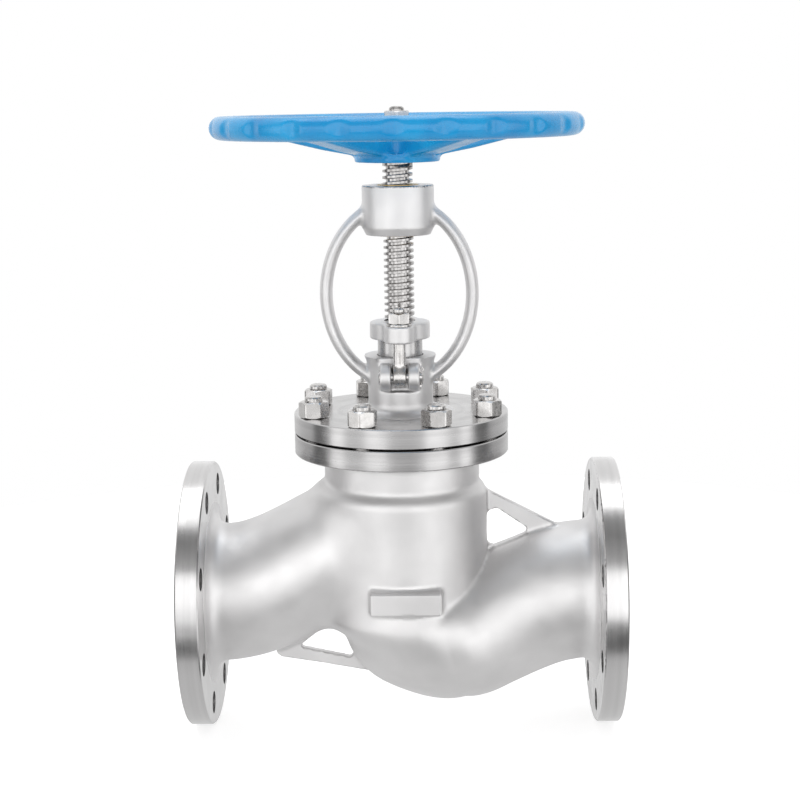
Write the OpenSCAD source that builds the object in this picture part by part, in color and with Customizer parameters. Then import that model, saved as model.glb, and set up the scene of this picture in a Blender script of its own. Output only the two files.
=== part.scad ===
// Flanged globe valve with an outside screw and yoke.
// Origin: centre of the left port's face. +X runs through the valve to the
// right port, +Z runs up the stem. The valve is drawn closed.

/* [End flanges] */
// Distance between the two port faces
face_to_face = 350; // [346:1:360]
// Bore of each port
port_bore = 100; // [96:1:102]
// Outside diameter of an end flange
flange_d = 215; // [210:1:225]
// Thickness of an end flange with its raised face
flange_t = 20; // [18:1:24]
// Diameter of the raised face
raised_d = 158; // [150:1:160]
// Height of the raised face
raised_h = 2; // [1:0.5:3]
// Bolt circle of the end flanges
bolt_circle = 180; // [176:1:184]
// Diameter of the flange bolt holes
bolt_hole_d = 18; // [14:1:20]
// Number of flange bolts
bolt_n = 8; // [4:4:8]

/* [Body] */
// Outside diameter of the neck behind each end flange
neck_d = 112; // [110:1:116]
// Distance from the stem axis to each bend
bend_x = 124; // [122:1:126]
// Rise of the left passage in degrees
left_rise = 27.5; // [26:0.5:29]
// Fall of the right passage in degrees
right_fall = 24.6; // [23:0.2:26]
// Outside diameter of the two sloping passages
passage_d = 109; // [106:1:111]
// Inside diameter of the two sloping passages
passage_bore = 95; // [92:1:96]
// Outside diameter of the valve chamber
chamber_d = 136; // [134:1:140]
// Inside diameter of the valve chamber
chamber_bore = 118; // [116:1:120]
// Outside diameter of the collar under the bonnet joint
collar_d = 126; // [124:1:130]
// Bore of the collar, which lets the disc in
throat_d = 108; // [107:1:110]
// Thickness of the two lightening webs
web_t = 8; // [6:1:12]

/* [Seat and disc] */
// Bore of the seat
seat_bore = 92; // [88:1:94]
// Lift of the disc from closed to fully open
lift = 28; // [20:1:28]

/* [Bonnet joint] */
// Outside diameter of the bonnet joint
joint_d = 172; // [170:1:176]
// Height of the joint's lower flange above the port axis
joint_z = 118; // [118:1:120]
// Thickness of the body's joint flange
body_joint_t = 15.8; // [14:0.2:16]
// Thickness of the gasket
gasket_t = 1.5; // [1:0.5:2]
// Thickness of the bonnet's joint flange
bonnet_joint_t = 15.5; // [15:0.5:16]
// Circle of the bonnet studs
stud_circle = 148; // [147:1:150]
// Diameter of the bonnet studs
stud_d = 14; // [12:1:14]
// Width across the flats of the bonnet nuts
stud_nut_af = 21; // [19:1:22]

/* [Stem and gland] */
// Diameter of the stem and of its trapezoidal thread
stem_d = 24; // [22:1:24]
// Bore of the stuffing box
box_d = 36; // [36:1:37]
// Number of packing rings
packing_n = 5; // [5:1:5]
// Height of one packing ring
packing_h = 6; // [5:0.5:6]
// How far the gland can still be tightened
gland_travel = 6; // [3:1:8]
// Distance of each eyebolt from the stem axis
eyebolt_y = 30; // [30:0.5:32]
// Diameter of the eyebolts
eyebolt_d = 10; // [8:1:10]

/* [Yoke] */
// Overall width of the yoke ring
yoke_w = 125; // [123:1:130]
// Overall height of the yoke ring
yoke_h = 156; // [154:1:158]
// Thickness of a yoke arm
arm_t = 9; // [8:0.5:11]
// Depth of a yoke arm, front to back
arm_depth = 20; // [16:1:24]
// Diameter of the yoke hub
hub_d = 57; // [54:1:60]

/* [Handwheel] */
// Outside diameter of the handwheel
wheel_d = 293; // [280:1:300]
// Thickness of the rim
rim_t = 18; // [16:1:20]
// Number of spokes
spoke_n = 5; // [3:1:6]
// Number of finger hollows round the rim
grip_n = 24; // [12:1:24]
// Depth of a finger hollow
grip_depth = 2; // [1:0.5:3]

/* [Hidden] */
$fn = 96;

cut = 1;            // extra length of a cutting shape past its face
slip = 0.05;        // radial clearance of pieces that are fitted together
running = 0.1;      // radial clearance of pieces that turn or slide
steel = "silver";
cast = "gainsboro";

// Places along the pipe axis
stem_x = face_to_face / 2;
port_wall = 28;     // length of the true bore behind each port face
flange_back = stem_x - flange_t;
root_h = 8;         // height and length of the cone behind each flange

// Passages inside the body
bowl_x = 22;
bowl_z = -18;
bowl_r = 70;
sump_x = 38;
sump_z = -37.5;
sump_r = 52;
wall = 8;
passage_run = 134;  // length of the left slope, which ends inside the chamber
sump_run = 95;      // length of the right slope, which ends in the sump
bend_r = 100;       // radius of each bend
neck_end_x = bend_x + 18;
plate_top = 14;     // top of the wall that carries the seat
chamber_top = 84;
chamber_low = -5;

// Seat and disc
seat_r = seat_bore / 2;
seat_face_z = 13;
seat_top = 17;
seat_ring_low = 4;
seat_ring_r = 52;
cone = tan(30);
seat_gap = 0.1;     // height of the disc's cone above the seat's cone
disc_low = 11.5;
disc_r = 51;
disc_top = 27;
boss_r = 25;
boss_top = 50;
pad_low = 31;
pad_h = 2;
ring_low = 38;
ring_h = 4;
groove_r = 9;
disc_nut_top = 60;
disc_nut_r = 20;

// Heights of the bonnet joint
gasket_z = joint_z + body_joint_t;
bonnet_z = gasket_z + gasket_t;
bonnet_top = bonnet_z + bonnet_joint_t;
stud_nut_h = 12.8;
stud_low = joint_z + 1;
stud_top = bonnet_top + stud_nut_h + 4;
spigot_r = throat_d / 2 - 0.5;
gasket_r = 65;

// Stuffing box
stem_r = stem_d / 2;
box_r = box_d / 2;
box_low = 152;
box_top = 196;
washer_h = 3;
packing_low = box_low + washer_h;
packing_top = packing_low + packing_n * packing_h;
neck_r = 26;
neck_rim_r = 29;
neck_rim_z = 186;
neck_foot_r = 33;
inner_hub_low = 98;
inner_hub_r = 26;
bush_top = 110;
bush_r = 20;

// Back seat: a cone on the stem that meets the bush when the valve is open
back_r = 17;
back_low = 63;
back_rim = 4;
back_z = inner_hub_low - lift;   // lower edge of the stem's sealing cone

// Gland and eyebolts
pin_z = 182;
pin_r = 4;
eye_r = 8.5;
eye_w = 10;
ear_in = 7;
ear_out = 14.5;
ear_r = 10;
recess_w = 34.6;
recess_y = 21.2;
recess_low = 170;
gland_z = 209.5;
gland_t = 13.3;
gland_r = 24;
lobe_r = 11.5;
gland_top = gland_z + gland_t;
gland_washer_h = 1.8;
gland_nut_h = 8.6;
gland_nut_af = 16;
eyebolt_top = gland_top + gland_washer_h + gland_nut_h + 4;

// Yoke: an oval ring round a centre above the gland
yoke_z = 246;
crown_t = 5;        // extra thickness of the ring at its crown
ellipse_n = 120;    // points on an ellipse
hub_low = 292;
hub_z = 298;
hub_top = 331;
stem_nut_r = 16.5;
stem_nut_flange_r = 20;
stem_nut_low = 291.5;
stem_nut_step = 296;

// Stem end and handwheel
thread_low = 222;
wheel_seat_z = 349;
square_w = 16.5;
square_top = 375;
stud_end_r = 6;
stem_top = 392;
wheel_hub_r = 33.5;
wheel_hub_top = 376;
rim_r = (wheel_d - rim_t) / 2;
rim_z = 377;
spoke_w = 22;
wheel_washer_h = 2.5;
wheel_nut_h = 10;
wheel_nut_af = 19;
grip_r = 14;        // radius of the tool that forms a finger hollow

// Puts a shape drawn round the stem axis in its place in the valve
module at_stem() {
  translate([stem_x, 0, 0]) children();
}

// A cylinder from one height to another
module post(r, low, high) {
  translate([0, 0, low]) cylinder(r = r, h = high - low);
}

// A tube from one height to another
module tube(r, bore_r, low, high) {
  difference() {
    post(r, low, high);
    post(bore_r, low - cut, high + cut);
  }
}

// A hexagon across flats, from one height to another
module hex(af, low, high) {
  translate([0, 0, low]) rotate([0, 0, 30]) cylinder(r = af / sqrt(3), h = high - low, $fn = 6);
}

// A cylinder along X between two places
module rod_x(r, from, to) {
  translate([from, 0, 0]) rotate([0, 90, 0]) cylinder(r = r, h = to - from);
}

// Copies round a circle, half a pitch off the X axis so that they straddle it
module ring_of(n, circle) {
  for (i = [0 : n - 1])
    rotate([0, 0, (i + 0.5) * 360 / n]) translate([circle / 2, 0, 0]) children();
}

// One end flange with its raised face and neck, its port face at +X
module end_flange() {
  rod_x(flange_d / 2, flange_back, stem_x - raised_h);
  rod_x(raised_d / 2, flange_back, stem_x);
  rod_x(neck_d / 2, neck_end_x, flange_back + cut);
  translate([flange_back, 0, 0]) rotate([0, -90, 0])
    cylinder(r1 = neck_d / 2 + root_h, r2 = neck_d / 2, h = root_h);
}

// The bolt holes of one end flange, in line with end_flange
module flange_holes() {
  translate([flange_back - cut, 0, 0]) rotate([0, 90, 0])
    ring_of(bolt_n, bolt_circle) cylinder(d = bolt_hole_d, h = flange_t + 2 * cut);
}

// A passage of radius r that starts level at x = -bend_x, then turns by an angle and
// runs on for a length, turning up where the angle is positive
module slope(r, angle, run) {
  tangent = bend_r * tan(abs(angle) / 2);
  side = sign(angle);
  translate([-bend_x - tangent, 0, 0]) rotate([90, 0, 0]) translate([0, side * bend_r])
    rotate([0, 0, side > 0 ? -90 : 90 + angle]) rotate_extrude(angle = abs(angle))
      translate([bend_r, 0]) circle(r = r);
  translate([-bend_x, 0, 0]) rotate([0, 90 - angle, 0]) translate([0, 0, tangent])
    cylinder(r = r, h = run - tangent);
}

// The left passage rises to the chamber and the right one falls to the sump
module left_slope(r) {
  slope(r, left_rise, passage_run);
}

module right_slope(r) {
  mirror([1, 0, 0]) slope(r, -right_fall, sump_run);
}

// The bowl under the seat, shrunk by t
module bowl(t) {
  translate([bowl_x, 0, bowl_z]) sphere(r = bowl_r - t);
  translate([sump_x, 0, sump_z]) sphere(r = sump_r - t);
}

// A thin web in the plane of the two axes
module web(outline, window) {
  rotate([90, 0, 0]) linear_extrude(height = web_t, center = true) difference() {
    polygon(outline);
    polygon(window);
  }
}

module webs() {
  web([[-112, -52], [-69, -61], [-24, -69.5], [-30, -20], [-60, -15], [-100, -40]],
      [[-82, -45], [-56, -24], [-50, -24], [-39, -47], [-45, -54.5], [-79, -49]]);
  web([[130, 50], [125, 57.5], [70.5, 84], [60, 84], [60, 30], [120, 30]],
      [[70, 66.5], [76, 67.5], [100, 54.5], [100, 50], [79, 40.5], [72, 39], [69.5, 47]]);
}

// Raised rectangular boss on the front and the back of the bowl
module side_boss() {
  boss_w = 57;
  boss_low = 1.5;
  boss_high = 18;
  boss_y = 74;
  translate([-boss_w / 2, -boss_y, boss_low]) cube([boss_w, 2 * boss_y, boss_high - boss_low]);
}

module body_shape() {
  end_flange();
  mirror([1, 0, 0]) end_flange();
  left_slope(passage_d / 2);
  right_slope(passage_d / 2);
  bowl(0);
  post(chamber_d / 2, chamber_low, chamber_top);
  translate([0, 0, chamber_top])
    cylinder(r1 = chamber_d / 2, r2 = collar_d / 2, h = (chamber_d - collar_d) / 2);
  post(collar_d / 2, chamber_top, joint_z + cut);
  post(joint_d / 2, joint_z, gasket_z);
  webs();
  side_boss();
}

// Space above the seat wall: the left passage, the chamber and the throat
module upper_space() {
  difference() {
    left_slope(passage_bore / 2);
    post(chamber_bore / 2 + 1, -chamber_d, plate_top);
    translate([bowl_x, 0, bowl_z]) sphere(r = bowl_r - 1);
  }
  post(chamber_bore / 2, plate_top, chamber_top);
  post(throat_d / 2, plate_top, gasket_z + cut);
}

// Space below the seat wall: the bowl, the sump and the right passage
module lower_space() {
  difference() {
    union() {
      bowl(wall);
      right_slope(passage_bore / 2);
    }
    post(chamber_d / 2 - 1, 0, joint_z);
  }
}

module body() color(cast) at_stem() difference() {
  body_shape();
  upper_space();
  lower_space();
  rod_x(port_bore / 2, -stem_x - cut, -stem_x + port_wall);
  rod_x(port_bore / 2, stem_x - port_wall, stem_x + cut);
  flange_holes();
  mirror([1, 0, 0]) flange_holes();
  post(seat_r, -2 * wall, plate_top + cut);
  post(seat_ring_r + slip, seat_ring_low, plate_top + cut);
  ring_of(8, stud_circle) post(stud_d / 2 + slip, joint_z - cut, gasket_z + cut);
}

module seat_ring() color(steel) at_stem() rotate_extrude() polygon([
  [seat_r, seat_ring_low], [seat_ring_r, seat_ring_low], [seat_ring_r, seat_top],
  [seat_r + (seat_top - seat_face_z) * cone, seat_top], [seat_r, seat_face_z]
]);

module body_gasket() color("dimgray") at_stem() tube(gasket_r, throat_d / 2, gasket_z, bonnet_z);

// An ellipse with half axes a and b
module ellipse(a, b) {
  polygon([for (i = [0 : ellipse_n - 1]) [a * cos(i * 360 / ellipse_n), b * sin(i * 360 / ellipse_n)]]);
}

// The yoke is one oval ring, heavier at the top where it carries the hub
module yoke_ring() {
  translate([0, 0, yoke_z]) rotate([90, 0, 0])
    linear_extrude(height = arm_depth, center = true) difference() {
      ellipse(yoke_w / 2, yoke_h / 2);
      translate([0, -crown_t / 2]) ellipse(yoke_w / 2 - arm_t, yoke_h / 2 - arm_t - crown_t / 2);
    }
}

// The two ears that hold one eyebolt, in front of the neck
module ears() {
  for (s = [-1, 1]) translate([s * (ear_in + ear_out) / 2, -eyebolt_y, pin_z]) {
    rotate([0, 90, 0]) cylinder(r = ear_r, h = ear_out - ear_in, center = true);
    translate([-(ear_out - ear_in) / 2, 0, -ear_r])
      cube([ear_out - ear_in, eyebolt_y - box_r - 1, 2 * ear_r]);
  }
}

module neck() {
  translate([0, 0, bonnet_top]) cylinder(r1 = neck_foot_r, r2 = neck_r, h = neck_foot_r - neck_r);
  post(neck_r, bonnet_top - cut, neck_rim_z);
  translate([0, 0, neck_rim_z]) cylinder(r1 = neck_r, r2 = neck_rim_r, h = box_top - neck_rim_z);
}

module neck_recess() {
  translate([-recess_w / 2, -recess_y - eyebolt_y, recess_low])
    cube([recess_w, eyebolt_y, box_top - recess_low + cut]);
}

module bonnet() color(cast) at_stem() difference() {
  union() {
    difference() {
      neck();
      neck_recess();
      rotate([0, 0, 180]) neck_recess();
    }
    ears();
    rotate([0, 0, 180]) ears();
    post(joint_d / 2, bonnet_z, bonnet_top);
    post(spigot_r, bonnet_z - 6, bonnet_z + cut);
    post(inner_hub_r, inner_hub_low, bonnet_z + cut);
    yoke_ring();
    post(hub_d / 2, hub_z, hub_top);
    translate([0, 0, hub_low]) cylinder(r1 = hub_d / 2 - 3, r2 = hub_d / 2, h = hub_z - hub_low);
  }
  ring_of(8, stud_circle) post(stud_d / 2 + 0.5, bonnet_z - cut, bonnet_top + cut);
  post(stem_r + 0.4, inner_hub_low - cut, box_low + cut);
  post(bush_r + slip, inner_hub_low - cut, bush_top);
  post(box_r, box_low, box_top + cut);
  for (s = [-1, 1]) translate([0, s * eyebolt_y, pin_z])
    rod_x(pin_r + slip, -ear_out - cut, ear_out + cut);
  post(stem_nut_r + slip, hub_low - cut, hub_top + cut);
  post(stem_nut_flange_r + slip, hub_low - cut, stem_nut_step);
  translate([0, 0, (hub_z + hub_top) / 2]) rotate([-90, 0, 0])
    cylinder(r = 3 + slip, h = hub_d);
}

module bonnet_studs() color(steel) at_stem()
  ring_of(8, stud_circle) {
    post(stud_d / 2, stud_low, stud_top - 1);
    translate([0, 0, stud_top - 1]) cylinder(r1 = stud_d / 2, r2 = stud_d / 2 - 1, h = 1);
  }

module bonnet_nuts() color(steel) at_stem()
  ring_of(8, stud_circle) difference() {
    hex(stud_nut_af, bonnet_top, bonnet_top + stud_nut_h);
    post(stud_d / 2 + slip, bonnet_top - cut, stud_top);
  }

module back_seat_bush() color(steel) at_stem() difference() {
  post(bush_r, inner_hub_low, bush_top);
  post(stem_r + running, inner_hub_low - cut, bush_top + cut);
  translate([0, 0, inner_hub_low - cut])
    cylinder(r1 = back_r + cut + seat_gap, r2 = stem_r, h = back_r + cut + seat_gap - stem_r);
}

module packing_washer() color(steel) at_stem()
  tube(box_r - slip, stem_r + running, box_low, packing_low);

// Packing ring number i, counted from the bottom of the box
module packing_ring(i) color("darkslategray") at_stem()
  tube(box_r - slip, stem_r + running, packing_low + (i - 1) * packing_h, packing_low + i * packing_h);

module gland_follower() color(steel) at_stem()
  tube(box_r - running, stem_r + running, packing_top, gland_z);

module gland_flange() color(steel) at_stem() difference() {
  union() {
    post(gland_r, gland_z, gland_top);
    translate([-lobe_r, -eyebolt_y, gland_z]) cube([2 * lobe_r, 2 * eyebolt_y, gland_t]);
    for (s = [-1, 1]) translate([0, s * eyebolt_y, 0]) post(lobe_r, gland_z, gland_top);
  }
  post(stem_r + 0.5, gland_z - cut, gland_top + cut);
  for (s = [-1, 1]) translate([0, s * eyebolt_y, 0])
    post(eyebolt_d / 2 + 0.5, gland_z - cut, gland_top + cut);
}

module gland_washers() color(steel) at_stem()
  for (s = [-1, 1]) translate([0, s * eyebolt_y, 0])
    tube(10, eyebolt_d / 2 + 0.3, gland_top, gland_top + gland_washer_h);

// side is -1 at the front and 1 at the back
module gland_nut(side) color(steel) at_stem() translate([0, side * eyebolt_y, 0]) difference() {
  hex(gland_nut_af, gland_top + gland_washer_h, gland_top + gland_washer_h + gland_nut_h);
  post(eyebolt_d / 2 + slip, gland_top, eyebolt_top);
}

module eyebolt(side) color(steel) at_stem() translate([0, side * eyebolt_y, 0]) difference() {
  union() {
    translate([0, 0, pin_z]) rod_x(eye_r, -eye_w / 2, eye_w / 2);
    post(eyebolt_d / 2, pin_z, eyebolt_top - 1);
    translate([0, 0, eyebolt_top - 1]) cylinder(r1 = eyebolt_d / 2, r2 = eyebolt_d / 2 - 1, h = 1);
  }
  translate([0, 0, pin_z]) rod_x(pin_r + slip, -eye_w, eye_w);
}

pin_end = 18.5;
pin_head_h = 2;
split_x = 16.6;
split_r = 0.9;

module eyebolt_pin(side) color(steel) at_stem() translate([0, side * eyebolt_y, pin_z]) difference() {
  union() {
    rod_x(pin_r, -ear_out - pin_head_h, pin_end);
    rod_x(pin_r + 2, -ear_out - pin_head_h, -ear_out);
  }
  translate([split_x, 0, 0]) post(split_r + slip, -2 * pin_r, 2 * pin_r);
}

module split_pins() color(steel) at_stem()
  for (s = [-1, 1]) translate([split_x, s * eyebolt_y, pin_z]) {
    post(split_r, -pin_r - 3, pin_r + 1);
    translate([0, 0, pin_r + 2]) rotate([0, 90, 0]) rotate_extrude() translate([1.4, 0]) circle(r = split_r);
  }

module stem_nut() color("goldenrod") at_stem() difference() {
  union() {
    post(stem_nut_r, stem_nut_low, hub_top + 0.3);
    post(stem_nut_flange_r, stem_nut_low, stem_nut_step);
  }
  post(stem_r + slip, stem_nut_low - cut, hub_top + 2);
}

module stem_nut_screw() color(steel) at_stem() translate([0, 0, (hub_z + hub_top) / 2])
  rotate([-90, 0, 0]) difference() {
    post(3, stem_nut_r + 0.3, hub_d / 2);
    hex(3, hub_d / 2 - 3, hub_d / 2 + cut);
  }

module stem() color(steel) at_stem() {
  rotate_extrude() polygon([
    [0, pad_low + pad_h + slip], [stem_r - 2, pad_low + pad_h + slip],
    [stem_r, pad_low + pad_h + 2], [stem_r, ring_low - running], [groove_r, ring_low - running],
    [groove_r, ring_low + ring_h + running], [stem_r, ring_low + ring_h + running],
    [stem_r, back_low], [back_r, back_z - back_rim], [back_r, back_z],
    [stem_r, back_z + back_r - stem_r], [stem_r, thread_low - 4], [stem_r - 1, thread_low - 3],
    [stem_r - 1, thread_low - 1], [stem_r, thread_low], [stem_r, wheel_seat_z - 1],
    [stem_r - 1, wheel_seat_z], [0, wheel_seat_z]
  ]);
  translate([-square_w / 2, -square_w / 2, wheel_seat_z - cut])
    cube([square_w, square_w, square_top - wheel_seat_z + cut]);
  post(stud_end_r, square_top - cut, stem_top - 2);
  translate([0, 0, stem_top - 2]) cylinder(r1 = stud_end_r, r2 = stud_end_r - 2, h = 2);
}

module disc() color(steel) at_stem() {
  disc_edge = seat_r + (seat_top - seat_face_z) * cone;
  rotate_extrude() polygon([
    [0, disc_low], [seat_r - (seat_face_z + seat_gap - disc_low) * cone, disc_low],
    [disc_edge, seat_top + seat_gap], [disc_edge, seat_top + 0.3], [disc_r, seat_top + 0.3],
    [disc_r, disc_top], [boss_r + 3, disc_top], [boss_r, disc_top + 3], [boss_r, boss_top],
    [disc_nut_r + slip, boss_top], [disc_nut_r + slip, pad_low], [0, pad_low]
  ]);
}

module disc_thrust_pad() color("dimgray") at_stem() post(stem_r - 1, pad_low, pad_low + pad_h);

// Two half rings that sit in the stem's groove
module disc_split_ring() color(steel) at_stem() difference() {
  tube(disc_nut_r - 0.5, groove_r + running, ring_low, ring_low + ring_h);
  translate([-disc_nut_r, -0.5, ring_low - cut]) cube([2 * disc_nut_r, 1, ring_h + 2 * cut]);
}

module disc_nut() color(steel) at_stem() difference() {
  union() {
    post(disc_nut_r, ring_low + ring_h, boss_top + cut);
    hex(2 * disc_nut_r + 4, boss_top, disc_nut_top);
  }
  post(stem_r + running, ring_low, disc_nut_top + cut);
  translate([0, 0, boss_top - 4]) rod_x(1.5 + slip, disc_nut_r - 4, disc_nut_r + cut);
}

module disc_nut_pin() color(steel) at_stem() translate([0, 0, boss_top - 4])
  rod_x(1.5, disc_nut_r - 4, disc_nut_r);

// Outline of one spoke, seen from the side, from the hub out to the rim
module spoke() {
  rotate([90, 0, 0]) linear_extrude(height = spoke_w, center = true) polygon([
    [16, 354], [36, 355], [60, 360], [84, 366], [106, 371], [rim_r, 372],
    [rim_r, 381], [104, 380], [78, 374.5], [52, 370], [16, 369]
  ]);
}

module handwheel() color("dodgerblue") at_stem() difference() {
  union() {
    post(wheel_hub_r, wheel_seat_z, wheel_hub_top - 5);
    post(wheel_hub_r - 8, wheel_seat_z, wheel_hub_top);
    for (i = [0 : spoke_n - 1]) rotate([0, 0, 90 + i * 360 / spoke_n]) spoke();
    translate([0, 0, rim_z]) rotate_extrude() translate([rim_r, 0]) circle(d = rim_t);
  }
  translate([-square_w / 2 - slip, -square_w / 2 - slip, wheel_seat_z - cut])
    cube([square_w + 2 * slip, square_w + 2 * slip, wheel_hub_top - wheel_seat_z + 2 * cut]);
  ring_of(grip_n, wheel_d + 2 * (grip_r - grip_depth))
    post(grip_r, rim_z - rim_t, rim_z + rim_t);
}

module handwheel_washer() color(steel) at_stem()
  tube(15, stud_end_r + 0.3, wheel_hub_top, wheel_hub_top + wheel_washer_h);

module handwheel_nut() color(steel) at_stem() difference() {
  hex(wheel_nut_af, wheel_hub_top + wheel_washer_h, wheel_hub_top + wheel_washer_h + wheel_nut_h);
  post(stud_end_r + slip, wheel_hub_top, stem_top);
}

body();
seat_ring();
body_gasket();
bonnet();
bonnet_studs();
bonnet_nuts();
back_seat_bush();
packing_washer();
packing_ring(1);  // packing_ring_1
packing_ring(2);  // packing_ring_2
packing_ring(3);  // packing_ring_3
packing_ring(4);  // packing_ring_4
packing_ring(5);  // packing_ring_5
gland_follower();
gland_flange();
gland_washers();
gland_nut(-1);  // gland_nut_front
gland_nut(1);  // gland_nut_back
eyebolt(-1);  // eyebolt_front
eyebolt(1);  // eyebolt_back
eyebolt_pin(-1);  // eyebolt_pin_front
eyebolt_pin(1);  // eyebolt_pin_back
split_pins();
stem_nut();
stem_nut_screw();
stem();
disc();
disc_thrust_pad();
disc_split_ring();
disc_nut();
disc_nut_pin();
handwheel();
handwheel_washer();
handwheel_nut();
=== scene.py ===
# Flanged globe valve: the castings, turned faces, threads and finishes of the valve, built round its frame.
# Every shape is drawn in millimetres round the stem axis, with z counted up from the pipe axis, and put
# into the frame's metres when its mesh is made.
import math

import bmesh
import bpy
import numpy as np
import openvdb
from mathutils import Matrix, Vector


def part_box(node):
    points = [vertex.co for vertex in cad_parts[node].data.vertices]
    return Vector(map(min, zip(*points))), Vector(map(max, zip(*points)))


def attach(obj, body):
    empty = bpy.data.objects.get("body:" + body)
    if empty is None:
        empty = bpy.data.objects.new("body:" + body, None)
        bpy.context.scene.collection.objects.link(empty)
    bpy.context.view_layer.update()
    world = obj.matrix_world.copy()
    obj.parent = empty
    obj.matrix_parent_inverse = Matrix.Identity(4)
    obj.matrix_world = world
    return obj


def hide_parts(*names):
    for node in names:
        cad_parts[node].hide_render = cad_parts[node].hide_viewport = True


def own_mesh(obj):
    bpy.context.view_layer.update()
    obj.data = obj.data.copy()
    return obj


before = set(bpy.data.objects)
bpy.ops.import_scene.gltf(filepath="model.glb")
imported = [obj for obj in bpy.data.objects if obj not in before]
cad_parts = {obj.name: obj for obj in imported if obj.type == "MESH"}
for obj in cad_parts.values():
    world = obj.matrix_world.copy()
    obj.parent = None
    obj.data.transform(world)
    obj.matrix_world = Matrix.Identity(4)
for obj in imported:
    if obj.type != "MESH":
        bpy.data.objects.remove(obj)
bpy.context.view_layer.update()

MM = 0.001
TURN = 2 * math.pi


def extent(node):
    """Lowest and highest corner of a frame node, in millimetres from the stem axis."""
    low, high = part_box(node)
    shift = Vector((STEM_X, 0, 0))
    return (Vector(low) - shift) / MM, (Vector(high) - shift) / MM


STEM_X = (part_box("stem")[0][0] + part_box("stem")[1][0]) / 2

# ---------------------------------------------------------------- sizes taken from the frame
BODY_LOW, BODY_HIGH = extent("body")
FACE_X = BODY_HIGH.x          # face of each port
FLANGE_R = BODY_HIGH.y        # rim of the end flanges
JOINT_TOP = BODY_HIGH.z       # top of the body's joint flange
GASKET_TOP = extent("body_gasket")[1].z
JOINT_R = 86.0
JOINT_LOW = 118.0
COVER_TOP = 150.8             # top face of the bonnet's joint flange
STUD_CIRCLE_R = 74.0
STUD_R = 7.0
STUD_COUNT = 8
BOLT_COUNT = 8
BOLT_CIRCLE_R = 90.0
BOLT_HOLE_R = 9.0
STEM_R = 12.0
PIN_HOLE_R = 4.05
TOOL_STEPS = 128              # steps round every lathe cut
HUB_TOP = extent("bonnet")[1].z
WHEEL_LOW = extent("handwheel")[0]
STEM_LOW, STEM_HIGH = extent("stem")
EYE_Y = 30.0                  # distance of each eyebolt from the stem axis
PIN_Z = 182.0                 # height of the eyebolt pins
BOX_LOW = 152.0               # bottom of the stuffing box


# ---------------------------------------------------------------- camera
def aim_camera():
    """A camera a little above the bonnet joint, in front of the valve and looking slightly down."""
    yaw, pitch, roll = -0.0212, 0.1789, -0.0153
    forward = Vector((math.sin(yaw) * math.cos(pitch), math.cos(yaw) * math.cos(pitch), -math.sin(pitch)))
    level = forward.cross(Vector((0, 0, 1))).normalized()
    upright = level.cross(forward)
    right = math.cos(roll) * level + math.sin(roll) * upright
    up = math.cos(roll) * upright - math.sin(roll) * level
    lens = bpy.data.cameras.new("camera")
    lens.lens = 74.6
    lens.sensor_width = 36
    camera = bpy.data.objects.new("camera", lens)
    turn = Matrix((right, up, -forward)).transposed().to_4x4()
    camera.matrix_world = Matrix.Translation((STEM_X + 0.02715, -1.3148, 0.3964)) @ turn
    bpy.context.scene.collection.objects.link(camera)
    bpy.context.scene.camera = camera


# ---------------------------------------------------------------- materials
def linear(code):
    """The linear colour of an sRGB hex code."""
    parts = [int(code[i:i + 2], 16) / 255 for i in (1, 3, 5)]
    return tuple(c / 12.92 if c <= 0.04045 else ((c + 0.055) / 1.055) ** 2.4 for c in parts) + (1,)


def add(tree, kind, settings=None, links=None):
    """Adds a node. A setting in small letters is the node's own, any other is a socket; links feed it."""
    made = tree.nodes.new(kind)
    for key, value in (settings or {}).items():
        if isinstance(key, str) and key.islower():
            setattr(made, key, value)
        else:
            made.inputs[key].default_value = value
    for key, source in (links or {}).items():
        tree.links.new(source, made.inputs[key])
    return made


def start_material(name, shader_settings):
    """A material with one principled shader, and its object coordinates."""
    material = bpy.data.materials.new(name)
    material.use_nodes = True
    tree = material.node_tree
    tree.nodes.clear()
    shader = add(tree, "ShaderNodeBsdfPrincipled", shader_settings)
    add(tree, "ShaderNodeOutputMaterial", links={"Surface": shader.outputs[0]})
    place = add(tree, "ShaderNodeTexCoord").outputs["Object"]
    return material, tree, shader, place


def grained(name, shader_settings, dark, light, stain_mm, smooth, rough, grains):
    """A finish whose colour and roughness drift in stains, over grains of (size mm, depth mm, strength)."""
    material, tree, shader, place = start_material(name, shader_settings)
    stain = add(tree, "ShaderNodeTexNoise", {"Scale": 1 / (stain_mm * MM), "Detail": 3.0}, {"Vector": place})
    drift = add(tree, "ShaderNodeMapRange", {1: 0.3, 2: 0.7}, {0: stain.outputs["Fac"]})
    colour = add(tree, "ShaderNodeMix", {"data_type": "RGBA", 6: linear(dark), 7: linear(light)},
                 {0: drift.outputs[0]})
    tree.links.new(colour.outputs[2], shader.inputs["Base Color"])
    wear = add(tree, "ShaderNodeTexNoise", {"Scale": 3 / (stain_mm * MM), "Detail": 2.0}, {"Vector": place})
    sheen = add(tree, "ShaderNodeMapRange", {1: 0.3, 2: 0.7, 3: smooth, 4: rough}, {0: wear.outputs["Fac"]})
    tree.links.new(sheen.outputs[0], shader.inputs["Roughness"])
    for size_mm, depth_mm, strength in grains:
        grain = add(tree, "ShaderNodeTexNoise", {"Scale": 1 / (size_mm * MM), "Detail": 2.0},
                    {"Vector": place})
        bump = add(tree, "ShaderNodeBump", {"Distance": depth_mm * MM, "Strength": strength},
                   {"Height": grain.outputs["Fac"]})
        below = shader.inputs["Normal"].links
        if below:
            tree.links.new(below[0].from_socket, bump.inputs["Normal"])
        tree.links.new(bump.outputs[0], shader.inputs["Normal"])
    return material


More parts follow.
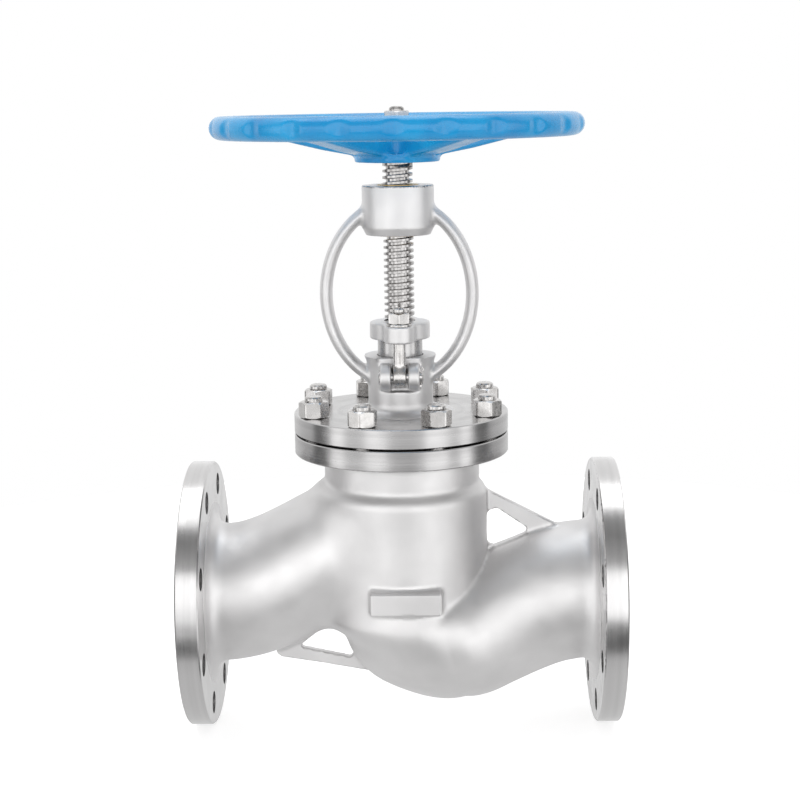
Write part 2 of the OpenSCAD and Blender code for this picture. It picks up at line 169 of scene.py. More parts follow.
def turned_metal(name, shader_settings, axis, centre, dark, light, smooth, rough):
    """Metal turned on a lathe round an axis through the centre: feed marks that run round the work."""
    material, tree, shader, place = start_material(name, shader_settings)
    along = Vector([1.0 if a == axis else 0.0 for a in "xyz"])
    across = Vector((1, 1, 1)) - along
    centred = add(tree, "ShaderNodeMapping", {"Location": -centre}, {"Vector": place})
    flat = add(tree, "ShaderNodeVectorMath", {"operation": "MULTIPLY", 1: across}, {0: centred.outputs[0]})
    radius = add(tree, "ShaderNodeVectorMath", {"operation": "LENGTH"}, {0: flat.outputs[0]})
    height = add(tree, "ShaderNodeVectorMath", {"operation": "DOT_PRODUCT", 1: along},
                 {0: centred.outputs[0]})
    section = add(tree, "ShaderNodeCombineXYZ", {}, {0: radius.outputs["Value"], 1: height.outputs["Value"]})
    # real feed marks are 0.2 mm apart, drawn four times as wide so that they show
    marks = add(tree, "ShaderNodeTexNoise", {"Scale": 1 / (0.8 * MM), "Detail": 3.0},
                {"Vector": section.outputs[0]})
    bands = add(tree, "ShaderNodeTexNoise", {"Scale": 1 / (7 * MM), "Detail": 1.0},
                {"Vector": section.outputs[0]})
    shade = add(tree, "ShaderNodeMapRange", {1: 0.3, 2: 0.7}, {0: bands.outputs["Fac"]})
    colour = add(tree, "ShaderNodeMix", {"data_type": "RGBA", 6: linear(dark), 7: linear(light)},
                 {0: shade.outputs[0]})
    tree.links.new(colour.outputs[2], shader.inputs["Base Color"])
    handled = add(tree, "ShaderNodeTexNoise", {"Scale": 1 / (22 * MM), "Detail": 2.0}, {"Vector": place})
    both = add(tree, "ShaderNodeMath", {"operation": "MULTIPLY_ADD", 1: 0.5},
               {0: marks.outputs["Fac"], 2: handled.outputs["Fac"]})
    sheen = add(tree, "ShaderNodeMapRange", {1: 0.5, 2: 1.0, 3: smooth, 4: rough}, {0: both.outputs[0]})
    tree.links.new(sheen.outputs[0], shader.inputs["Roughness"])
    bump = add(tree, "ShaderNodeBump", {"Distance": 0.02 * MM, "Strength": 0.5},
               {"Height": marks.outputs["Fac"]})
    tree.links.new(bump.outputs[0], shader.inputs["Normal"])
    return material


METAL = {"Metallic": 1.0}
# Stainless steel, investment cast and bead blasted: a soft even sheen over a fine peened grain, with the slow
# waves of the wax pattern under it. Real peening is 0.3 mm, drawn coarser so that it shows.
CAST = grained("blasted_cast_stainless", METAL, "#D9D8D8", "#E7E6E6", 60, 0.44, 0.54,
               [(28, 0.5, 0.22), (1.3, 0.08, 0.35)])
# Stainless steel as cast inside the passages: duller and coarser, because no blast reaches it.
RAW = grained("raw_cast_stainless", METAL, "#A9A7A4", "#C2C0BD", 30, 0.55, 0.7, [(2.2, 0.25, 0.5)])
# Stainless steel faced on a lathe, round the pipe and round the stem, with fine rings. The copy turned round
# the pipe is bright; the copy turned round the stem has a darker colour, which is painted shade on the joint
# flange, the bonnet faces and the other stem-axis work.
PIPE_FACED = turned_metal("turned_stainless_pipe_axis", METAL, "x", Vector((0, 0, 0)),
                          "#CBCACA", "#D6D5D5", 0.14, 0.27)
# painted shade: this turned stainless is coloured darker than the pipe-axis copy to stand for shade, not for
# a different finish
SHADED_STEM_FACED = turned_metal("turned_stainless_stem_axis_painted_shade", METAL, "z", Vector((STEM_X, 0, 0)),
                          "#ACABAB", "#BDBCBC", 0.17, 0.3)
# Stainless bar, machined and tumbled: near-mirror flats with small dings and softened edges.
BRIGHT = grained("tumbled_stainless_fastener", METAL, "#BFBDBB", "#D3D1D0", 9, 0.16, 0.32, [(3, 0.06, 0.3)])
# Stainless bar with a rolled trapezoidal thread, burnished by its nut: bright crests, oily roots.
STEM_BAR = grained("burnished_stem_stainless", METAL, "#A09E9D", "#C2C0BF", 6, 0.12, 0.24, [(1, 0.02, 0.4)])
# Aluminium bronze, turned: a warm dull gold that has begun to brown.
BRONZE = turned_metal("turned_aluminium_bronze", METAL, "z", Vector((STEM_X, 0, 0)),
                      "#A88A4E", "#C9AC6B", 0.24, 0.38)
# Flexible graphite, die pressed: near black, with a faint grey sheen where it is rubbed.
GRAPHITE = grained("pressed_graphite", {"Metallic": 0.0}, "#141416", "#2E2F33", 4, 0.45, 0.65,
                   [(1.2, 0.08, 0.6)])
# Cobalt hard facing, lapped: cooler and darker than the steel round it, and almost a mirror.
HARD = turned_metal("lapped_cobalt_hard_facing", METAL, "z", Vector((STEM_X, 0, 0)),
                    "#9FA3A8", "#B9BDC2", 0.08, 0.18)
# Cast iron dipped in blue enamel: thick gloss, soft orange peel over the casting's lumps, uneven colour.
ENAMEL = grained("blue_dipped_enamel",
                 {"Metallic": 0.0, "Specular IOR Level": 0.5, "Coat Weight": 0.2, "Coat Roughness": 0.12},
                 "#0B8DCD", "#1BA4E0", 34, 0.2, 0.34, [(14, 0.5, 0.35), (4.5, 0.12, 0.35)])
# Matt white vinyl sweep: plain, with the faintest grain.
VINYL = grained("matt_white_vinyl",
                {"Metallic": 0.0, "Emission Color": (1, 1, 1, 1), "Emission Strength": 0.45},
                "#FBFBFB", "#FFFFFF", 40, 0.85, 0.95, [(2, 0.02, 0.1)])


# ---------------------------------------------------------------- making and joining meshes
def make(name, points, faces, material, sharp=32.0):
    """A mesh object from points in millimetres: doubles merged, faces outwards, smooth to a sharp angle."""
    mesh = bpy.data.meshes.new(name)
    placed = np.asarray(points, dtype=float) * MM + (STEM_X, 0, 0)
    mesh.from_pydata(placed.tolist(), [], [list(face) for face in faces])
    form = bmesh.new()
    form.from_mesh(mesh)
    bmesh.ops.remove_doubles(form, verts=form.verts, dist=0.002 * MM)
    bmesh.ops.recalc_face_normals(form, faces=form.faces)
    form.to_mesh(mesh)
    form.free()
    mesh.materials.append(material)
    finish_mesh(mesh, sharp)
    made = bpy.data.objects.new(name, mesh)
    bpy.context.scene.collection.objects.link(made)
    return made


def finish_mesh(mesh, sharp):
    """Shades a mesh smooth, with its edges sharp past an angle in degrees."""
    mesh.shade_smooth()
    mesh.set_sharp_from_angle(angle=math.radians(sharp))


def settle(made, name, sharp=32.0):
    """Turns an object and its modifiers into one plain mesh object of that name."""
    bpy.context.view_layer.update()
    mesh = bpy.data.meshes.new_from_object(
        made.evaluated_get(bpy.context.evaluated_depsgraph_get()))
    made.modifiers.clear()
    made.data = mesh
    mesh.name = name
    made.name = name
    finish_mesh(mesh, sharp)
    return made


def combine(base, operation, others, name, sharp=32.0):
    """Joins others to base, or cuts them away from it, and removes them. Faces keep their own finish."""
    for other in others:
        change = base.modifiers.new(operation.lower(), "BOOLEAN")
        change.operation = operation
        change.solver = "MANIFOLD"
        change.material_mode = "TRANSFER"
        change.object = other
    settle(base, name, sharp)
    for other in others:
        bpy.data.objects.remove(other)
    return base


def stand_for(piece, body, slot, *nodes):
    """The piece shows those frame nodes and moves with their body; the slot argument is not used."""
    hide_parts(*nodes)
    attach(piece, body)
    return piece


def loft(rings, closed=False):
    """Points and faces of a skin through rings of equal count; closed joins the last ring to the first."""
    rings = [np.asarray(ring, dtype=float) for ring in rings]
    n = len(rings[0])
    faces = []
    pairs = len(rings) if closed else len(rings) - 1
    for i in range(pairs):
        a, b = i * n, (i + 1) % len(rings) * n
        faces += [(a + j, a + (j + 1) % n, b + (j + 1) % n, b + j) for j in range(n)]
    return np.vstack(rings), faces


def circle(radius, height, steps=96):
    """A ring round the stem axis; the radius may differ from step to step."""
    angle = np.arange(steps) * TURN / steps
    radius = np.broadcast_to(radius, (steps,))
    return np.stack([radius * np.cos(angle), radius * np.sin(angle), np.broadcast_to(height, (steps,))], 1)


def turned(name, profile, material, axis="z", centre=(0, 0, 0), steps=96, sharp=32.0):
    """A solid of revolution from (radius, height) corners. It closes on itself unless it ends on the axis."""
    on_axis = profile[0][0] == 0 and profile[-1][0] == 0
    points, faces = loft([circle(r, h, steps) for r, h in profile], closed=not on_axis)
    turns = {"z": (0, 1, 2), "x": (2, 0, 1), "y": (1, 2, 0)}[axis]
    return make(name, points[:, turns] + np.asarray(centre), faces, material, sharp)


def ring_places(count, radius, first=0.5):
    """Centres of holes or bolts on a circle; first is the offset of the first one, in pitches."""
    angles = [(i + first) * TURN / count for i in range(count)]
    return [(radius * math.cos(a), radius * math.sin(a)) for a in angles]


def hex_nut(across, height, bore, low=0.0, steps=96):
    """Points and faces of a hexagon nut with chamfered corners and a countersunk bore."""
    angle = np.arange(steps) * TURN / steps
    corner = across / 2 / np.cos((angle + TURN / 12) % (TURN / 6) - TURN / 12)
    washer_r = across / 2 * 0.94
    drop = np.maximum(corner - washer_r, 0) * math.tan(math.radians(30))
    edge = np.minimum(corner, across / 2 / math.cos(TURN / 12) * 0.985)
    rings = [circle(bore, low + 0.8, steps), circle(bore + 0.8, low, steps), circle(washer_r, low, steps),
             circle(edge, low + drop, steps), circle(edge, low + height - drop, steps),
             circle(washer_r, low + height, steps), circle(bore + 0.8, low + height, steps),
             circle(bore, low + height - 0.8, steps)]
    return loft(rings, closed=True)


# One pitch of a thread: distance along the pitch and depth, as shares of the pitch and of the full depth
TRAPEZOID = ((0.0, 0.0), (0.36, 0.0), (0.5, 1.0), (0.86, 1.0))
VEE = ((0.0, 0.0), (0.12, 0.0), (0.5, 1.0), (0.62, 1.0))


def threaded_bar(below, above, major_r, depth, pitch, low, high, shape, steps):
    """Points and faces of a bar with one right-hand thread between the rings below and above it."""
    per_turn = len(shape)
    turns = int((high - low) / pitch + 0.001) - 1
    top = low + (turns + 1) * pitch
    last_row = turns * per_turn
    climb = np.arange(steps) / steps * pitch
    rows = []
    for k in range(last_row + 1):
        share, cut = shape[k % per_turn]
        z = low + (k // per_turn + share) * pitch + climb
        fade = np.clip(np.minimum(z - low, top - z) / pitch * 2, 0, 1)
        rows.append(circle(major_r - depth * cut * fade, z, steps))
    rings = list(below) + rows + list(above)
    points = np.vstack(rings)
    first = len(below)
    end = first + last_row

    def at(ring, j):
        return ring * steps + j

    faces = []
    for i in range(len(rings) - 1):
        inside = first <= i < end
        for j in range(steps - 1):
            faces.append((at(i, j), at(i, j + 1), at(i + 1, j + 1), at(i + 1, j)))
        j = steps - 1
        if inside and i + per_turn < end:
            faces.append((at(i, j), at(i + per_turn, 0), at(i + per_turn + 1, 0), at(i + 1, j)))
        elif not inside and i not in (first - 1, end):
            faces.append((at(i, j), at(i, 0), at(i + 1, 0), at(i + 1, j)))
    j = steps - 1
    faces.append([at(first - 1, j), at(first - 1, 0)]
                 + [at(first + k, 0) for k in range(per_turn + 1)] + [at(first, j)])
    faces.append([at(end - per_turn, j), at(end, 0), at(end + 1, 0), at(end + 1, j)]
                 + [at(end - k, j) for k in range(per_turn)])
    return points, faces


def sweep(path, radius, steps=12):
    """Points and faces of a round wire along a list of points, with flat ends."""
    path = np.asarray(path, dtype=float)
    heading = np.gradient(path, axis=0)
    heading /= np.linalg.norm(heading, axis=1)[:, None]
    side = np.cross(heading[0], (0.31, 0.95, 0.11))
    rings = []
    for place, ahead in zip(path, heading):
        side = side - ahead * side.dot(ahead)
        side /= np.linalg.norm(side)
        other = np.cross(ahead, side)
        turn = [i * TURN / steps for i in range(steps)]
        rings.append([place + radius * (math.cos(t) * side + math.sin(t) * other) for t in turn])
    rings = [[path[0]] * steps] + rings + [[path[-1]] * steps]
    return loft(rings)


# -------------------------------------------------- fields: distances that castings are cut from
def soften(a, b, reach):
    """Union of two distance fields with a fillet of about that reach."""
    share = np.clip(0.5 + 0.5 * (b - a) / reach, 0, 1)
    return b + (a - b) * share - reach * share * (1 - share)


def hollow(a, b, reach):
    """Field a with b taken out of it, its edge rounded by about that reach."""
    return -soften(-a, b, reach)


def smooth_run(stations, count=48):
    """Many stations on one smooth curve through the given ones."""
    known = np.asarray(stations, dtype=float)
    gaps = np.linalg.norm(np.diff(known[:, :2], axis=0), axis=1)
    along = np.concatenate([[0], np.cumsum(gaps)])
    slopes = np.gradient(known, along, axis=0)
    made = []
    for place in np.linspace(0, along[-1], count):
        i = min(int(np.searchsorted(along, place, side="right")) - 1, len(gaps) - 1)
        span = gaps[i]
        t = (place - along[i]) / span
        a, b, m, n = known[i], known[i + 1], slopes[i] * span, slopes[i + 1] * span
        made.append(tuple((2 * t ** 3 - 3 * t ** 2 + 1) * a + (t ** 3 - 2 * t ** 2 + t) * m
                          + (3 * t ** 2 - 2 * t ** 3) * b + (t ** 3 - t ** 2) * n))
    return made


def chain(x, y, z, stations):
    """A run of round pipe of changing radius, its centre line through stations (x, z, radius)."""
    nearest, size = None, None
    for (ax, az, ar), (bx, bz, br) in zip(stations, stations[1:]):
        dx, dz = bx - ax, bz - az
        t = np.clip(((x - ax) * dx + (z - az) * dz) / (dx * dx + dz * dz), 0, 1)
        gap = (x - ax - t * dx) ** 2 + (z - az - t * dz) ** 2
        radius = ar + t * (br - ar)
        if nearest is None:
            nearest, size = gap, radius
        else:
            closer = gap < nearest
            nearest = np.where(closer, gap, nearest)
            size = np.where(closer, radius, size)
    return np.sqrt(nearest + y ** 2) - size


def drum(radius, height, size, low, high, edge=0.0):
    """A round disc of that size between two heights, its edges rounded."""
    a = radius - size + edge
    b = np.abs(height - (low + high) / 2) - (high - low) / 2 + edge
    return np.hypot(np.maximum(a, 0), np.maximum(b, 0)) + np.minimum(np.maximum(a, b), 0) - edge


def block(x, y, z, low, high, edge=0.0):
    """A box between two corners, its edges rounded."""
    parts = [np.abs(v - (a + b) / 2) - (b - a) / 2 + edge for v, a, b in zip((x, y, z), low, high)]
    outside = np.sqrt(sum(np.maximum(p, 0) ** 2 for p in parts))
    return outside + np.minimum(np.maximum(np.maximum(parts[0], parts[1]), parts[2]), 0) - edge


def outline(u, v, corners, edge=0.0):
    """Distance to a flat outline given by its corners, which are rounded by edge."""
    u, v = np.broadcast_arrays(u, v)
    gap = np.full(u.shape, 1e9)
    inside = np.zeros(u.shape, dtype=bool)
    for (au, av), (bu, bv) in zip(corners, corners[1:] + corners[:1]):
        eu, ev = bu - au, bv - av
        t = np.clip(((u - au) * eu + (v - av) * ev) / (eu * eu + ev * ev), 0, 1)
        gap = np.minimum(gap, np.hypot(u - au - t * eu, v - av - t * ev))
        crosses = (av > v) != (bv > v)
        side = (u - au) * ev - (v - av) * eu
        inside ^= crosses & ((side < 0) if ev > 0 else (side > 0))
    return np.where(inside, -gap, gap) - edge


def plate(x, y, z, corners, thickness, edge):
    """A flat web in the plane of the valve, with rounded corners."""
    return np.maximum(outline(x, z, corners, edge), np.abs(y) - thickness / 2)


def cast(name, field, low, high, step, material, passes=2, sharp=40.0):
    """Meshes a field inside a box of millimetres with cells of that step, and draws its points onto it."""
    axes = [np.arange(a - 3 * step, b + 3 * step, step) for a, b in zip(low, high)]
    x, y, z = np.ix_(*axes)
    values = np.broadcast_to(field(x, y, z), [len(a) for a in axes])
    grid = openvdb.FloatGrid()
    grid.background = 3 * step
    grid.copyFromArray(np.clip(values, -3 * step, 3 * step).astype(np.float32))
    points, quads = grid.convertToQuads(0.0)
    points = points.astype(float) * step + [a[0] for a in axes]
    reach = 0.05
    for _ in range(passes):
        here = field(*points.T)
        slope = np.stack([field(*(points + move).T) - field(*(points - move).T)
                          for move in np.eye(3) * reach], 1) / (2 * reach)
        shift = (here / np.maximum((slope ** 2).sum(1), 0.2))[:, None] * slope
        points -= np.clip(shift, -0.6 * step, 0.6 * step)
    return make(name, points, quads, material, sharp)


# ---------------------------------------------------------------- valve body
PASSAGE_WALL = 8.0
NECK_R = 56.0
LEFT_RUN = smooth_run([(-165, 0, NECK_R), (-142, 0.3, NECK_R), (-124, 3.5, 55.3), (-102, 11.5, 54),
                       (-80, 22.2, 53.3), (-55, 35, 53.5), (-30, 46, 54), (0, 52, 54)])
RIGHT_RUN = smooth_run([(165, 0, NECK_R), (142, -0.3, NECK_R), (125, -3.5, 55.8), (110, -8.5, 54.7),
                        (90, -16.5, 54.5), (70, -25.5, 54.5), (50, -33.5, 54.8), (38, -36.5, 52.5)])
BOWL_Z = -22.0
CHAMBER_R = 68.5
COLLAR_R = 62.5
LEFT_WEB = [(-106, -52), (-102, -55.6), (-69, -60.9), (-24, -69.2), (-10, -60), (-30, -10), (-60, -5),
            (-95, -20)]
LEFT_WINDOW = [(-83, -46), (-57, -24.6), (-48.5, -24.6), (-39, -47.6), (-45.6, -54.2)]
RIGHT_WEB = [(131, 52), (69, 84.5), (55, 70), (55, 20), (90, 20), (120, 40)]
RIGHT_WINDOW = [(97, 50.5), (76, 41), (71.5, 43), (70.5, 50), (71, 63), (76, 65)]


def thinner(stations, wall):
    """The same run of pipe with its radius less by the wall."""
    return [(x, z, r - wall) for x, z, r in stations]


def bowl(x, y, z, wall=0.0):
    """The round bowl under the seat, deeper below its middle than above."""
    depth = np.where(z > BOWL_Z, 46.0, 59.0) - wall
    shape = np.sqrt(((x - 14) / (64 - wall)) ** 2 + (y / (71.5 - wall)) ** 2 + ((z - BOWL_Z) / depth) ** 2)
    steep = np.sqrt(((x - 14) / (64 - wall) ** 2) ** 2 + (y / (71.5 - wall) ** 2) ** 2
                    + ((z - BOWL_Z) / depth ** 2) ** 2)
    return shape * (shape - 1) / np.maximum(steep, 1e-6)


def widened(x, y):
    """The right passage is wider than it is high where it meets the bowl."""
    share = np.clip((x - 40) / 75, 0, 1)
    return y * (0.83 + 0.17 * share * share * (3 - 2 * share))


def body_skin(x, y, z):
    """Outside of the body casting."""
    radius = np.hypot(x, y)
    pipe_radius = np.hypot(y, z)
    upper = soften(chain(x, y, z, LEFT_RUN), drum(radius, z, CHAMBER_R, -25, 94, 12), 12)
    upper = soften(upper, drum(radius, z, COLLAR_R, 40, 126), 3)
    upper = soften(upper, drum(radius, z, JOINT_R + 0.8, JOINT_LOW - 0.1, JOINT_TOP + 0.7), 7)
    lower = soften(chain(x, widened(x, y), z, RIGHT_RUN), bowl(x, y, z), 14)
    # the passage on the right leaves the chamber at a sharp crease, and the bowl grows out of it softly
    skin = soften(upper, lower, 3 + 11 * np.clip((34 - x) / 20, 0, 1))
    webs = np.minimum(
        np.maximum(plate(x, y, z, LEFT_WEB, 8, 0), -outline(x, z, LEFT_WINDOW, 2)),
        np.maximum(plate(x, y, z, RIGHT_WEB, 8, 0), -outline(x, z, RIGHT_WINDOW, 4)))
    skin = soften(skin, webs, 3)
    pad = block(x, np.abs(y), z, (-25, 40, 0), (31, 74.5, 18.5), 1.6)
    skin = soften(skin, pad, 4)
    flanges = drum(pipe_radius, np.abs(x), FLANGE_R + 0.8, FACE_X - 20.1, FACE_X + 3)
    skin = soften(skin, flanges, 13)
    return np.maximum(skin, np.abs(x) - FACE_X - 0.7)


def body_hollow(x, y, z):
    """The two passages, apart from each other but for the seat that is machined between them."""
    radius = np.hypot(x, y)
    above = np.minimum(chain(x, y, z, thinner(LEFT_RUN, PASSAGE_WALL)), drum(radius, z, 59, 14, 84, 4))
    above = np.maximum(above, -drum(radius, z, CHAMBER_R - 1.5, -80, 14))
    below = chain(x, widened(x, y), z, thinner(RIGHT_RUN, PASSAGE_WALL))
    below = soften(below, bowl(x, y, z, PASSAGE_WALL), 12)
    below = np.maximum(below, -drum(radius, z, CHAMBER_R - 1.5, 0, 90))
    return np.maximum(np.minimum(above, below), np.abs(x) - FACE_X + 26)


def facing_cutters():
    """Lathe work on the body: both end flanges, the joint flange, the throat, the seat and the ports."""
    rim, lip, back = FLANGE_R, 1.0, FACE_X - 20
    port = [(0, FACE_X), (78.5, FACE_X), (79, FACE_X - 0.5), (79, FACE_X - 2), (rim - lip, FACE_X - 2),
            (rim, FACE_X - 2 - lip), (rim, back + lip), (rim - lip, back), (74, back), (74, back - 5),
            (rim + 10, back - 5), (rim + 10, FACE_X + 8), (0, FACE_X + 8)]
    bore = [(0, FACE_X - 28), (50, FACE_X - 28), (50, FACE_X - 1), (51, FACE_X + 1), (0, FACE_X + 1)]
    cutters = []
    for profile in (port, bore):
        mirrored = [(r, -x) for r, x in reversed(profile)]
        cutters += [turned("tool", profile, PIPE_FACED, "x", steps=TOOL_STEPS),
                    turned("tool", mirrored, PIPE_FACED, "x", steps=TOOL_STEPS)]
    joint = [(0, JOINT_TOP), (JOINT_R - 0.7, JOINT_TOP), (JOINT_R, JOINT_TOP - 0.7),
             (JOINT_R, JOINT_LOW + 0.9), (JOINT_R - 0.9, JOINT_LOW), (73, JOINT_LOW), (73, JOINT_LOW - 4),
             (95, JOINT_LOW - 4), (95, JOINT_TOP + 5), (0, JOINT_TOP + 5)]
    throat = [(0, 80), (54, 80), (54, JOINT_TOP + 1), (0, JOINT_TOP + 1)]
    seat = [(0, -6), (46, -6), (46, 4), (52.05, 4), (52.05, 15), (0, 15)]
    cutters += [turned("tool", profile, SHADED_STEM_FACED, steps=TOOL_STEPS) for profile in (joint, throat, seat)]
    return cutters


def drill_row(axis, places, radius, low, high, material, steps=32):
    """Drills at those places, through a wall between two distances along the axis."""
    profile = [(0, low), (radius, low), (radius, high), (0, high)]
    drills = []
    for a, b in places:
        centre = (0, a, b) if axis == "x" else (a, b, 0)
        drills.append(turned("drill", profile, material, axis, centre, steps))
    return drills


def make_body():
    """The body casting with its machined faces and drilled flanges."""
    blank = cast("body_blank", body_skin, (-FACE_X - 1, -FLANGE_R - 1, -FLANGE_R - 1),
                 (FACE_X + 1, FLANGE_R + 1, JOINT_TOP + 1), 1.9, CAST)
    core = cast("passages", body_hollow, (-150, -62, -84), (150, 62, 90), 3.2, RAW)
    cutters = [core] + facing_cutters()
    holes = ring_places(BOLT_COUNT, BOLT_CIRCLE_R)
    for low, high in ((-FACE_X - 2, -FACE_X + 24), (FACE_X - 24, FACE_X + 2)):
        cutters += drill_row("x", holes, BOLT_HOLE_R, low, high, PIPE_FACED)
    studs = ring_places(STUD_COUNT, STUD_CIRCLE_R)
    cutters += drill_row("z", studs, STUD_R + 0.05, JOINT_LOW + 1, JOINT_TOP + 1, SHADED_STEM_FACED)
    body = combine(blank, "DIFFERENCE", cutters, "valve_body_casting", 35.0)
    stand_for(body, "valve_body", "cast_stainless", "body")


# ---------------------------------------------------------------- bonnet
YOKE_Z = 246.0
RECESS_X = 17.3


def oval_ring(x, y, z):
    """The yoke's arms: an upright oval ring with an oval section, flatter across than it is deep."""
    half_w, half_h, rise = 58.2, 72.25, -1.0
    u, v = x / half_w, (z - YOKE_Z - rise) / half_h
    near = np.hypot(u, v)
    far = np.hypot(u / half_w, v / half_h)
    off = near * (near - 1) / np.maximum(far, 1e-6)
    thick, deep = 5.1, 10.0
    near = np.sqrt((off / thick) ** 2 + (y / deep) ** 2)
    far = np.sqrt((off / thick ** 2) ** 2 + (y / deep ** 2) ** 2)
    return near * (near - 1) / np.maximum(far, 1e-6)


def bonnet_skin(x, y, z):
    """Outside of the bonnet casting: cover flange, stuffing box, ears, yoke ring and hub."""
    radius = np.hypot(x, y)
    depth = np.abs(y)
    width = np.abs(x)
    neck_r = 26 + np.clip((z - 186) / 10, 0, 1) ** 1.5 * 3
    neck = np.maximum(radius - neck_r, np.maximum(140 - z, z - 196))
    neck = soften(neck, oval_ring(x, y, z), 4)
    recess = block(width, depth, z, (-1, 20.6, 169.5), (RECESS_X, 60, 220), 1.5)
    neck = hollow(neck, recess, 1.5)
    ear = drum(np.hypot(depth - EYE_Y, z - PIN_Z), width, 11, 7, 15.5, 1.6)
    stalk = block(width, depth, z, (7, 12, PIN_Z - 11), (15.5, EYE_Y, PIN_Z + 9), 1.6)
    neck = soften(neck, np.minimum(ear, stalk), 2.5)
    cover = drum(radius, z, JOINT_R + 0.8, GASKET_TOP - 0.4, COVER_TOP + 0.1)
    skin = soften(neck, cover, 9)
    hub_r = 28.5 - np.clip((298 - z) / 6, 0, 1) * 3
    hub = np.maximum(np.maximum(radius - hub_r, 292 - z), z - HUB_TOP - 0.5)
    skin = soften(skin, hub, 4.5)
    inner = drum(radius, z, 26.5, 97.5, GASKET_TOP + 5)
    return soften(skin, inner, 5)


def bonnet_cutters():
    """Lathe work and drilling on the bonnet."""
    lip = 0.8
    rim = [(0, 98), (25, 98), (26, 99), (26, 127), (28, 129.3), (53.5 - lip, 129.3), (53.5, 129.3 + lip),
           (53.5, GASKET_TOP), (JOINT_R - lip, GASKET_TOP), (JOINT_R, GASKET_TOP + lip),
           (JOINT_R, COVER_TOP - lip), (JOINT_R - lip, COVER_TOP), (42, COVER_TOP), (42, COVER_TOP + 3),
           (95, COVER_TOP + 3), (95, 90), (0, 90)]
    box = [(0, BOX_LOW), (18, BOX_LOW), (18, 194.5), (19.5, 197.5), (0, 197.5)]
    stem_hole = [(0, 96), (12.4, 96), (12.4, 160), (0, 160)]
    bush_hole = [(0, 96), (20.05, 96), (20.05, 110), (0, 110)]
    hub_face = [(0, HUB_TOP), (27.8, HUB_TOP), (28.5, HUB_TOP - 0.7), (28.5, HUB_TOP - 1.5),
                (34, HUB_TOP - 1.5), (34, HUB_TOP + 3), (0, HUB_TOP + 3)]
    nut_hole = [(0, 288), (20.05, 288), (20.05, 296), (16.55, 296), (16.55, HUB_TOP + 1), (0, HUB_TOP + 1)]
    cutters = [turned("tool", profile, SHADED_STEM_FACED, steps=TOOL_STEPS)
               for profile in (rim, box, stem_hole, bush_hole, hub_face, nut_hole)]
    studs = ring_places(STUD_COUNT, STUD_CIRCLE_R)
    cutters += drill_row("z", studs, STUD_R + 0.5, GASKET_TOP - 1, COVER_TOP + 1, SHADED_STEM_FACED)
    cutters += drill_row("x", [(-EYE_Y, PIN_Z), (EYE_Y, PIN_Z)], PIN_HOLE_R, -20, 20, BRIGHT)
    cutters.append(turned("tool", [(0, 14), (3.05, 14), (3.05, 32), (0, 32)], BRIGHT, "y", (0, 0, 314.5), 32))
    return cutters


def make_bonnet():
    """The bonnet casting with its spigot, faces, stuffing box and bores."""
    reach = JOINT_R + 1
    blank = cast("bonnet_blank", bonnet_skin, (-reach, -reach, 97), (reach, reach, HUB_TOP + 1), 1.15, CAST)
    bonnet = combine(blank, "DIFFERENCE", bonnet_cutters(), "bonnet_casting", 35.0)
    stand_for(bonnet, "valve_body", "cast_stainless", "bonnet")


# ---------------------------------------------------------------- handwheel
RIM_R = 137.5
RIM_Z = 377.0
RIM_THICK = 9.0
SPOKES = 5
GRIPS = 24


def fold(x, y, count, first):
    """Turns every point into one sector of the wheel, so that one spoke or hollow serves for all."""
    sector = TURN / count
    angle = (np.arctan2(y, x) - first + sector / 2) % sector - sector / 2
    radius = np.hypot(x, y)
    return radius * np.cos(angle), radius * np.sin(angle)


def wheel_skin(x, y, z):
    """The handwheel casting: lobed rim, five sloping spokes and a stepped hub."""
    radius = np.hypot(x, y)
    rim = np.hypot(radius - RIM_R, z - RIM_Z) - RIM_THICK
    u, v = fold(x, y, GRIPS, 0.0)
    rim = hollow(rim, np.hypot(u - RIM_R - RIM_THICK - 12, v) - 14, 2.0)
    out, side = fold(x, y, SPOKES, TURN / 4)
    arm = outline(out, z, [(10, 354), (36, 354.5), (60, 358.5), (90, 365), (112, 369.5), (RIM_R, 372),
                           (RIM_R, 381), (108, 379.5), (84, 374), (54, 368.5), (10, 368)], 0)
    half_w = 12.5 - np.clip((out - 30) / 90, 0, 1) * 2.0
    flat = np.abs(side) - half_w + 3
    arm = np.hypot(np.maximum(arm + 3, 0), np.maximum(flat, 0)) + np.minimum(np.maximum(arm + 3, flat), 0) - 3
    hub = soften(drum(radius, z, 33.5, WHEEL_LOW.z, WHEEL_LOW.z + 6.5, 1.2),
                 drum(radius, z, 25.5, WHEEL_LOW.z + 1, 376.4, 1.2), 2)
    return soften(soften(arm, hub, 5), rim, 5)


